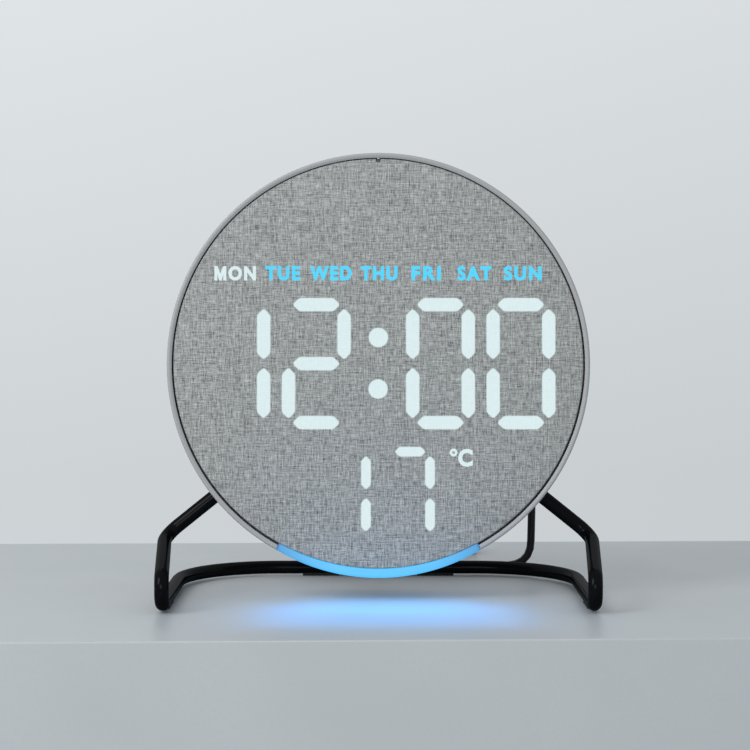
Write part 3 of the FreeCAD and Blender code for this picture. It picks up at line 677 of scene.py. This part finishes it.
light_bar()
glow_blue = (0.02, 0.36, 1.0)
glow_x, glow_height = 0.003, 0.0105
for name, y, width, depth, power in (
    ("glow_under_bar", -0.0325, 0.062, 0.028, 0.0110),
    ("glow_before_bar", -0.0500, 0.090, 0.045, 0.021),
):
    glow = soft_lamp(name, (glow_x, y, glow_height), (glow_x, y - 0.0002, 0), width, depth, power, glow_blue)
    glow.visible_camera = False
    glow.visible_glossy = False


# ---- Front panel and cloth ----
# A flat panel of clear polycarbonate, 2 mm thick, with a slate grey linen-look cloth stretched over it and
# wrapped round its edge. The lamps behind shine through the cloth wherever the mask has a window. A thin black
# ring in the gap to the rim is painted shade: it stands in for the shadow that falls in that gap.

cloth_radius = 72.7
cloth_front = 0.6
cloth_roll = 0.6
cloth_rise = 0.25
cloth_back = 3.1
cloth_thickness = 0.35
notch_half = 0.8
notch_depth = 1.2
soft_edge = 0.22
fine_edge = 0.08
white_light = (0.705, 0.845, 0.860)
day_light = (0.070, 0.680, 1.0)
time_z, heat_z, days_z = -0.15, -46.2, 31.9
days_height, days_bold = 5.2, 0.31
weave_pitch = 0.42


def rounded(points, radii, steps=4):
    """A closed outline with its corners rounded; each corner has its own radius."""
    loop = []
    count = len(points)
    for index, (corner, radius) in enumerate(zip(points, radii)):
        corner = Vector(corner)
        back = (Vector(points[index - 1]) - corner).normalized()
        ahead = (Vector(points[(index + 1) % count]) - corner).normalized()
        half = back.angle(ahead) / 2
        reach = radius / math.tan(half)
        first, last = corner + back * reach, corner + ahead * reach
        centre = corner + (back + ahead).normalized() * (radius / math.sin(half))
        begin, finish = first - centre, last - centre
        swing = begin.angle_signed(finish)
        for step in range(steps + 1):
            turn = Matrix.Rotation(-swing * step / steps, 2)
            loop.append(tuple(centre + turn @ begin))
    return loop


def stroke(x, z, length, width, upright, grow, soft):
    """A lit stroke of a digit: a bar with a 45 degree point at each end and softened corners."""
    half_width = width / 2 + grow
    tip = length / 2 + grow * math.sqrt(2)
    shoulder = tip - half_width
    points = [(tip, 0), (shoulder, half_width), (-shoulder, half_width)]
    points += [(-tip, 0), (-shoulder, -half_width), (shoulder, -half_width)]
    radii = [0.9 * soft + grow, 2.2 * soft + grow, 2.2 * soft + grow] * 2
    loop = rounded(points, radii)
    if upright:
        loop = [(-across, along) for along, across in loop]
    return [(x + px, z + pz) for px, pz in loop]


def lettering(words, spacing=1.0):
    """The outlines of some letters, as closed loops in the size that the built-in face has them."""
    data = bpy.data.curves.new("letters", "FONT")
    data.body = words
    data.size = 7.0
    data.fill_mode = "NONE"
    data.resolution_u = 4
    data.space_character = spacing
    letters = linked("letters", data)
    mesh = evaluated_mesh(letters)
    bpy.data.objects.remove(letters)
    joined = {tuple(sorted(edge.vertices)) for edge in mesh.edges}
    loops, walk = [], []
    for index, vertex in enumerate(mesh.vertices):
        walk.append((vertex.co.x, vertex.co.y))
        if (index, index + 1) not in joined:
            loops.append(walk)
            walk = []
    bpy.data.meshes.remove(mesh)
    if words.startswith("M"):
        loops[0] = upright_m(loops[0])
    return loops


def upright_m(loop):
    """An M with upright stems and a V down to its foot, in the box of another M."""
    left, right = min(p[0] for p in loop), max(p[0] for p in loop)
    low, high = min(p[1] for p in loop), max(p[1] for p in loop)
    width, height = right - left, high - low
    stem, middle = 0.125 * height, width / 2
    half = [(0, height), (0, 0), (stem, 0), (stem, 0.76 * height), (middle - 0.42 * stem, 0)]
    top = [(width - 1.3 * stem, height), (middle, 0.26 * height), (1.3 * stem, height)]
    points = half + [(width - x, y) for x, y in reversed(half)] + top
    return [(left + x, low + y) for x, y in points]


def fitted(loops, x, z, width, height):
    """Scales and centres loops so that together they fill a box."""
    every = [point for loop in loops for point in loop]
    low_x, high_x = min(p[0] for p in every), max(p[0] for p in every)
    low_z, high_z = min(p[1] for p in every), max(p[1] for p in every)
    across, up = width / (high_x - low_x), height / (high_z - low_z)
    middle_x, middle_z = (low_x + high_x) / 2, (low_z + high_z) / 2
    return [[(x + (px - middle_x) * across, z + (pz - middle_z) * up) for px, pz in loop] for loop in loops]


def swollen(loops, distance):
    """Moves every outline away from the ink by a distance."""
    areas = [sum(a[0] * b[1] - b[0] * a[1] for a, b in zip(loop, loop[1:] + loop[:1])) for loop in loops]
    way = math.copysign(1, max(areas, key=abs))
    result = []
    for loop in loops:
        moved = []
        count = len(loop)
        for index, point in enumerate(loop):
            before = (Vector(point) - Vector(loop[index - 1])).normalized()
            after = (Vector(loop[(index + 1) % count]) - Vector(point)).normalized()
            first, second = Vector((before.y, -before.x)), Vector((after.y, -after.x))
            hollow = (before.x * after.y - before.y * after.x) * way < 0
            reach = (first + second) / max(0.06 if hollow else 0.5, 1 + first.dot(second))
            moved.append(tuple(Vector(point) + reach * distance * way))
        result.append(moved)
    return result


def digit_strokes(x, z, size, lit):
    """The lit strokes of one digit; size gives the rows, the columns, both lengths, the width and the softness."""
    row, column, across, down, width, soft = size
    levels = {"top": row, "middle": 0, "bottom": -row}
    halves = {"upper": row / 2, "lower": -row / 2}
    columns = {"left": -column, "right": column}
    pairs = []
    for name in lit:
        if name in levels:
            place = (x, z + levels[name], across, width, False)
        else:
            half, side = name.split()
            place = (x + columns[side], z + halves[half], down, width, True)
        pairs.append([stroke(*place, grow, soft) for grow in (-soft_edge, soft_edge)])
    return pairs


def lit_figures():
    """Every lit figure, as (inner loop, outer loop, colour)."""
    time_size = (20.9, 9.85, 16.9, 18.2, 4.76, 1.0)
    heat_size = (14.85, 7.0, 11.1, 11.95, 3.46, 0.75)
    right = ["upper right", "lower right"]
    nought = ["top", "bottom", "upper left", "lower left"] + right
    two = ["top", "upper right", "middle", "lower left", "bottom"]
    figures = []
    digits = [(-50.5, time_z, time_size, right), (-22.0, time_z, time_size, two)]
    digits += [(x, time_z, time_size, nought) for x in (22.0, 50.5)]
    digits += [(-11.4, heat_z, heat_size, right), (11.25, heat_z, heat_size, ["top"] + right)]
    for digit in digits:
        figures += [(*pair, white_light) for pair in digit_strokes(*digit)]
    dots = [(0.0, 9.1, 3.45, soft_edge), (-0.1, -9.15, 3.45, soft_edge)]
    # the degree sign is lit between two circles, so the loops of its hole change places
    dots += [(26.6, -31.65, 1.38, fine_edge), (26.6, -31.65, 0.53, -fine_edge)]
    for x, z, radius, edge in dots:
        figures.append((circle(x, z, radius - edge), circle(x, z, radius + edge), white_light))
    words = [("MON", -50.8, 14.75), ("TUE", -33.9, 12.4), ("WED", -16.8, 14.8), ("THU", 0.25, 13.2)]
    words += [("FRI", 16.95, 10.4), ("SAT", 34.1, 12.2), ("SUN", 51.2, 13.4)]
    for word, x, width in words:
        colour = white_light if word == "MON" else day_light
        figures += letter_pairs(word, x, days_z, width, days_height, days_bold, colour)
    figures += letter_pairs("C", 30.8, -33.5, 5.2, 6.3, 0.36, white_light)
    return figures


def letter_pairs(word, x, z, width, height, bold, colour):
    base = fitted(lettering(word, 1.24), x, z, width - 2 * bold, height - 2 * bold)
    inside, outside = swollen(base, bold - fine_edge), swollen(base, bold + fine_edge)
    return [(a, b, colour) for a, b in zip(inside, outside)]


def cloth_outline():
    """The edge of the cloth as (wrapped point, point where the flat part ends) pairs, with the notch."""
    top = math.sqrt(cloth_radius**2 - notch_half**2)
    low = cloth_radius - notch_depth
    roll = cloth_roll
    gap = math.asin(notch_half / cloth_radius)
    pairs = []
    steps = 240
    first, last = math.pi / 2 + gap, math.pi / 2 - gap + 2 * math.pi
    for step in range(steps + 1):
        angle = first + (last - first) * step / steps
        out = Vector((math.cos(angle), math.sin(angle)))
        pairs.append((out * cloth_radius, out * (cloth_radius - roll)))
    pairs[0] = (pairs[0][0], Vector((-notch_half - 0.45, top - roll)))
    pairs[-1] = (pairs[-1][0], Vector((notch_half + 0.45, top - roll)))
    pairs.append((Vector((notch_half, low)), Vector((notch_half + 0.4, low - 0.35))))
    pairs.append((Vector((-notch_half, low)), Vector((-notch_half - 0.4, low - 0.35))))
    return pairs


def around(loop, first):
    """The edges round a loop whose first point has this number."""
    return [(first + i, first + (i + 1) % len(loop)) for i in range(len(loop))]


def within(points, triangles, loops):
    """The triangles that lie inside an odd number of the loops."""
    kept = []
    for triangle in triangles:
        middle = sum((Vector(points[i]) for i in triangle), Vector((0, 0))) / len(triangle)
        odd = False
        for loop in loops:
            for a, b in zip(loop, loop[1:] + loop[:1]):
                if (a[1] > middle.y) != (b[1] > middle.y):
                    odd ^= middle.x < a[0] + (middle.y - a[1]) * (b[0] - a[0]) / (b[1] - a[1])
        if odd:
            kept.append(triangle)
    return kept


def cloth():
    edge = cloth_outline()
    loops = [([tuple(flat) for wrapped, flat in edge], 0.0, white_light)]
    for inside, outside, colour in lit_figures():
        loops += [(outside, 0.0, colour), (inside, 1.0, colour)]
    flat_points, joins, marks = [], [], []
    for loop, level, colour in loops:
        joins += around(loop, len(flat_points))
        flat_points += [Vector(point) for point in loop]
        marks += [(level, colour)] * len(loop)
    made = delaunay_2d_cdt(flat_points, joins, [], 1, 1e-6, True)
    points, origins = made[0], made[3]
    triangles = within(points, made[2], loops[0][:1])
    place_of = {source: index for index, sources in enumerate(origins) for source in sources}
    flat = [Vector((p.x, p.y)) for p in points]
    depth = [cloth_front] * len(flat)
    unrolled = list(flat)
    lit = [marks[sources[0]][0] if sources else 0.5 for sources in origins]
    lamp = [marks[sources[0]][1] if sources else white_light for sources in origins]
    faces = [tuple(triangle) for triangle in triangles]
    previous = [place_of[i] for i in range(len(edge))]
    quarter = math.pi / 2
    rows = [(math.sin(quarter * k / 5), cloth_roll * (1 - math.cos(quarter * k / 5))) for k in range(1, 6)]
    rows += [(1.0, 1.5), (1.0, cloth_back - cloth_front)]
    for out, back in rows:
        current = []
        for wrapped, inner_point in edge:
            current.append(len(flat))
            flat.append(inner_point + (wrapped - inner_point) * out)
            depth.append(cloth_front + back)
            way = (wrapped - inner_point).normalized()
            unrolled.append(inner_point + way * (out * cloth_roll + back))
            lit.append(0.0)
            lamp.append(white_light)
        count = len(edge)
        for i in range(count):
            j = (i + 1) % count
            faces.append((previous[i], current[i], current[j], previous[j]))
        previous = current
    place = [in_housing @ (Vector((p.x, d, p.y + cloth_rise)) * mm) for p, d in zip(flat, depth)]
    sheet = add_mesh("front_cloth", place, faces)
    mesh = sheet.data
    level = mesh.attributes.new("lit", "FLOAT", "POINT")
    level.data.foreach_set("value", lit)
    tone = mesh.attributes.new("lit_colour", "FLOAT_COLOR", "POINT")
    tone.data.foreach_set("color", [value for colour in lamp for value in (*colour, 1.0)])
    layer = mesh.uv_layers.new(name="weave")
    for corner, uv in zip(mesh.loops, layer.data):
        uv.uv = unrolled[corner.vertex_index]
    applied(sheet, "SOLIDIFY", thickness=cloth_thickness * mm, offset=-1)
    sheet.data.shade_smooth()
    sheet.data.set_sharp_from_angle(angle=math.radians(50))
    return sheet


def linen():
    """Warp and weft threads of uneven thickness and tone, and the light that comes through them."""
    material, node, join = add_material("linen_cloth", 0.85)
    uv = node("ShaderNodeUVMap", {"uv_map": "weave"})
    split = node("ShaderNodeSeparateXYZ", i0=uv).outputs

    def calc(operation, first, second=0.5):
        return node("ShaderNodeMath", {"operation": operation}, i0=first, i1=second)

    def stretched(across, along, detail, seed):
        """Noise that is long in one direction, as a thread's own tone is."""
        place = node("ShaderNodeMapping", Vector=uv, Scale=(across, along, 1.0), Location=(seed, seed * 1.7, 0))
        return node("ShaderNodeTexNoise", Vector=place, Scale=1.0, Detail=detail, Roughness=0.62)

    threads_per_mm, thread_tone, slub_width, slub_length = 1 / weave_pitch, 0.32, 2.0, 0.06
    warp = stretched(threads_per_mm, thread_tone, 2.0, 3.1)
    weft = stretched(thread_tone, threads_per_mm, 2.0, 17.3)
    slub_up = stretched(slub_width, slub_length, 1.0, 41.0)
    slub_across = stretched(slub_length, slub_width, 1.0, 77.0)
    fuzz = stretched(4.5, 4.5, 2.0, 9.0)
    waves = [calc("SINE", calc("MULTIPLY", split[axis], math.pi / weave_pitch)) for axis in (0, 1)]
    over = calc("MULTIPLY", *waves)
    tone = calc("ADD", calc("MULTIPLY", warp, 1.5), calc("MULTIPLY", weft, 1.35))
    for part, share in ((slub_up, 0.60), (slub_across, 0.55), (fuzz, 0.8), (over, 0.05)):
        tone = calc("ADD", tone, calc("MULTIPLY", part, share))
    level = node("ShaderNodeMapRange", i0=tone, i1=1.86, i2=2.93)
    colour = two_tone(node, level, (0.066, 0.071, 0.071), (0.466, 0.476, 0.466))
    lit = node("ShaderNodeAttribute", {"attribute_name": "lit"}).outputs["Fac"]
    hue = node("ShaderNodeAttribute", {"attribute_name": "lit_colour"}).outputs["Color"]
    mix = {"data_type": "RGBA", "blend_type": "MULTIPLY"}
    shade = node("ShaderNodeMix", mix, i0=lit, i6=colour, i7=(0.05, 0.05, 0.05, 1))
    join(shade.outputs[2], "Base Color")
    join(hue, "Emission Color")
    gleam = node("ShaderNodeMapRange", i0=level, i1=0.0, i2=1.0, i3=0.93, i4=1.0)
    join(calc("MULTIPLY", lit, gleam), "Emission Strength")
    height = calc("ADD", tone, calc("MULTIPLY", over, 0.4))
    join(node("ShaderNodeBump", Strength=0.25, Distance=0.0002, Height=height), "Normal")
    return material


def gap_shade_ring():
    """Painted shade: a thin black ring in the gap between the wrapped panel and the rim, which ends at the light
    bar.
    """
    inside, outside, low, high = 72.85, 73.12, 1.3, 3.0
    profile = [(inside, low), (outside, low), (outside, high), (inside, high)]
    ends = {"start": 270 + bar_half_angle, "sweep": 360 - 2 * bar_half_angle}
    ring = turned("panel_gasket", profile, centre=(0, cloth_rise / 2), steps=240, **ends)
    key_room = [(-0.6, 74.0), (-0.6, 72.0), (0.6, 72.0), (0.6, 74.0)]
    cut(ring, straight_piece("key_room", key_room, 0.0, 4.0, None))
    # the ring's near-black colour is painted shade, standing in for the shadow in the gap between cloth and rim
    dress(ring, speckled("gap_shade_black", (0.010, 0.010, 0.011), 0.3, 0.9, 2400, 0.5))


gap_shade_ring()
front_cloth = cloth()
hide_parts("fabric_cover")
dress(front_cloth, linen())
finish_node(speckled("clear_panel", (0.60, 0.62, 0.63), 0.04, 0.2, 900, 0.02), "front_panel")


# ---- Display stack and bar lamps ----
# Behind the panel come a milky film, a white mask with a well for every figure, and a black circuit board
# that carries the lamps and their driver. Screws hold the stack to bosses of the shell.

finish_node(speckled("milky_film", (0.82, 0.83, 0.83), 0.02, 0.45, 1200, 0.05), "diffuser_film")
finish_node(speckled("mask_white", (0.80, 0.80, 0.79), 0.03, 0.55, 1300, 0.1), "light_mask")
board_black = speckled("board_black", (0.012, 0.014, 0.016), 0.3, 0.35, 1100, 0.08)
finish_node(board_black, "display_board", "mood_light_board")
lamp_yellow = speckled("lamp_resin", (0.80, 0.72, 0.36), 0.08, 0.3, 1500, 0.05)
finish_node(lamp_yellow, "segment_leds", "mood_light_leds")
chip_epoxy = speckled("chip_epoxy", (0.016, 0.016, 0.017), 0.3, 0.6, 2200, 0.3)
finish_node(chip_epoxy, "display_driver", "controller_chip", "temperature_sensor")
screw_zinc = speckled("screw_zinc", (0.58, 0.57, 0.55), 0.08, 0.35, 1700, 0.1, 1.0)
finish_node(screw_zinc, "board_screws", "control_board_screws")
finish_node(speckled("flex_orange", (0.45, 0.19, 0.04), 0.12, 0.35, 1200, 0.05), "light_bar_flex")


# ---- Control board ----
# A green glass-epoxy board on four posts of the cover. It carries the chips, the backup cell's holder, four
# switches under the buttons, the buzzer and the socket, and plugs into the display board by a pin strip.

finish_node(speckled("board_green", (0.012, 0.085, 0.035), 0.25, 0.32, 1100, 0.08), "control_board")
black_moulding = speckled("black_moulding", (0.014, 0.014, 0.015), 0.3, 0.5, 1600, 0.2)
finish_node(black_moulding, "header_socket", "tact_switches", "cell_holder", "buzzer", "power_socket")
plungers = [f"{key}_plunger" for key in ("mode", "set", "up", "down")]
finish_node(speckled("plunger_grey", (0.35, 0.35, 0.36), 0.06, 0.5, 1600, 0.15), *plungers)
brass = speckled("brass", (0.75, 0.57, 0.28), 0.08, 0.28, 1500, 0.06, 1.0)
finish_node(brass, "pin_header", "cell_contacts")
finish_node(speckled("can_steel", (0.66, 0.66, 0.66), 0.06, 0.25, 1500, 0.06, 1.0), "clock_crystal", "backup_cell")
finish_node(speckled("sleeve_blue", (0.02, 0.04, 0.14), 0.2, 0.35, 1500, 0.05), "power_capacitor")


# ---- Rear cover ----
# The back half of the drum, moulded in the same grey ABS and a shade darker, with a large round to its edge,
# slots over the buzzer and holes for the buttons, the cell's cap and the plug. Four screws hold it.

cover_screw_angles = (35.0, 145.0, 250.0, 290.0)
cover_screw_ring = 65.5
cover_screw_seat = 28.2
mark_height = 0.12


def smooth_copy(name, node, body="clock"):
    """A piece of the frame with its points merged and its round parts shaded smooth."""
    work = bmesh.new()
    work.from_mesh(nodes[node].data)
    bmesh.ops.remove_doubles(work, verts=work.verts, dist=1e-6)
    mesh = bpy.data.meshes.new(name)
    work.to_mesh(mesh)
    work.free()
    mesh.shade_smooth()
    mesh.set_sharp_from_angle(angle=math.radians(25))
    obj = linked(name, mesh)
    applied(obj, "WEIGHTED_NORMAL", keep_sharp=True, weight=100)
    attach(obj, body)
    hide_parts(node)
    return obj


def raised_marks(name, loops, x, z, width, height, body="clock"):
    """Low raised lettering or signs on the back, which read the right way round from behind."""
    base = fitted(loops, 0, 0, width, height)
    points, joins = [], []
    for loop in base:
        joins += around(loop, len(points))
        points += [Vector(point) for point in loop]
    made = delaunay_2d_cdt(points, joins, [], 1, 1e-6, False)
    flat, triangles = made[0], within(made[0], made[2], base)
    work = bmesh.new()
    places = [Vector((x - point.x, housing_depth / mm, z + point.y)) * mm for point in flat]
    corners = [work.verts.new(in_housing @ place) for place in places]
    for triangle in triangles:
        work.faces.new([corners[i] for i in triangle])
    bmesh.ops.recalc_face_normals(work, faces=work.faces)
    raised = bmesh.ops.extrude_face_region(work, geom=work.faces[:])
    lift = in_housing.to_3x3() @ Vector((0, mark_height * mm, 0))
    bmesh.ops.translate(work, vec=lift, verts=[v for v in raised["geom"] if isinstance(v, bmesh.types.BMVert)])
    mesh = bpy.data.meshes.new(name)
    work.to_mesh(mesh)
    work.free()
    obj = linked(name, mesh)
    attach(obj, body)
    return closed_up(obj)


def screw():
    """A pan-head screw with a cross recess, its axis along Y and its head on the side of +Y."""
    profile = [(0, 2.0), (1.2, 1.96), (2.0, 1.75), (2.5, 1.35), (2.72, 0.85), (2.75, 0.25), (2.65, 0.0), (1.25, 0.0)]
    profile += [(1.25, -9.0), (0.6, -10.4), (0, -10.6)]
    rings = []
    for across, up in circle(0, 0, 1):
        rings.append([Vector((r * across, depth, r * up)) * mm for r, depth in profile])
    body = skin("screw_body", rings, None, wrap=True, closed=False)
    arms = []
    for turn in (Matrix.Identity(3), Matrix.Rotation(-math.pi / 2, 3, "Y")):
        rings = []
        for depth, length, width in ((2.6, 1.5, 0.34), (1.05, 0.75, 0.16)):
            corners = [(-length, -width), (length, -width), (length, width), (-length, width)]
            rings.append([turn @ Vector((across, depth, up)) * mm for across, up in corners])
        arms.append(skin("recess", rings, None))
    return cut(body, *arms)


def screw_tree():
    sizes = {"Screw": "NodeSocketObject", "Lean": "NodeSocketFloat", "Finish": "NodeSocketMaterial"}
    given, step, end = geometry_plan("screws_in_place", sizes)
    shape = step("GeometryNodeObjectInfo", Object=given["Screw"])
    lean = step("ShaderNodeCombineXYZ", X=given["Lean"])
    settings = {"Points": given["Geometry"], "Instance": shape.outputs["Geometry"], "Rotation": lean}
    placed = step("GeometryNodeInstanceOnPoints", **settings)
    return end(placed, given["Finish"])


def cover_screws():
    seats = []
    for degrees in cover_screw_angles:
        angle = math.radians(degrees)
        seat = Vector((cover_screw_ring * math.cos(angle), cover_screw_seat, cover_screw_ring * math.sin(angle)))
        seats.append(in_housing @ (seat * mm))
    shape = screw()
    source = add_mesh("screw_seats", seats, [], None)
    values = {"Screw": shape, "Lean": -housing_tilt, "Finish": screw_zinc}
    screws = grown("cover_screw_set", source, screw_tree(), values, "clock")
    bpy.data.objects.remove(shape)
    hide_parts("cover_screws")


cover_plastic = speckled("cover_abs", (0.275, 0.279, 0.284), 0.04, 0.55, 1300, 0.22)
rear_cover = smooth_copy("back_cover", "rear_cover")
dress(rear_cover, cover_plastic)
cover_screws()


# ---- Buttons ----
# Four round ABS caps, each with a dished top and a flange that keeps it behind the cover. Each one rides
# on its own switch. The cover carries a low raised word or sign, painted dark, above every cap.

button_z = 20.0
mark_rise = 7.6
button_marks = {
    "mode": ("MODE", -33.0, 8.6, 2.3),
    "set": ("SET", -11.0, 5.8, 2.3),
    "up": ("+", 11.0, 2.6, 2.6),
    "down": ("-", 33.0, 2.6, 0.7),
}
button_profile = [(0, 32.72), (1.2, 32.76), (2.2, 32.86), (2.9, 32.97), (3.3, 33.0), (3.7, 32.9), (3.9, 32.62)]
button_profile += [(3.92, 32.4), (3.92, 29.4), (4.92, 29.4), (4.92, 27.9), (2.4, 27.9), (2.4, 26.0), (0, 26.0)]
button_plastic = speckled("button_abs", (0.17, 0.173, 0.177), 0.04, 0.42, 1500, 0.12)
mark_paint = speckled("mark_paint", (0.045, 0.046, 0.048), 0.1, 0.6, 1500, 0.1)


def buttons():
    for key, (word, x, width, height) in button_marks.items():
        cap = turned(f"{key}_cap", button_profile, f"{key}_button", (x, button_z), steps=48)
        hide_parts(f"{key}_button")
        dress(cap, button_plastic)
        mark = raised_marks(f"{key}_mark", lettering(word), x, button_z + mark_rise, width, height)
        dress(mark, mark_paint)


buttons()


# ---- Cell cap ----
# A round twist cap over the backup cell, flush with the cover. Two lugs lock it behind the cover, and a coin
# slot turns it. A raised pointer on it and a full and an open dot beside it show its two ends of travel.

cap_place = (-24.0, -10.0)
cap_rim = 12.92
pointer_rise = 9.9
dot_size, dot_away = 1.6, 2.4


def cell_cap():
    cap = smooth_copy("cell_cap", "battery_cap", "battery_cap")
    dress(cap, cover_plastic)
    triangle = [[(-1.0, 0.0), (1.0, 0.0), (0.0, 2.4)]]
    x, z = cap_place
    pointer = raised_marks("cap_pointer", triangle, x, z + pointer_rise, 1.6, 2.2, "battery_cap")
    dress(pointer, mark_paint)
    for name, turn in (("cap_dot_closed", 0.0), ("cap_dot_open", 40.0)):
        reach = cap_rim + dot_away
        x = cap_place[0] + reach * math.sin(math.radians(turn))
        z = cap_place[1] + reach * math.cos(math.radians(turn))
        ring = [circle(0, 0, 0.8, 20)] if turn == 0 else [circle(0, 0, 0.8, 20), circle(0, 0, 0.45, 16)[::-1]]
        dot = raised_marks(name, ring, x, z, dot_size, dot_size)
        dress(dot, mark_paint)


cell_cap()
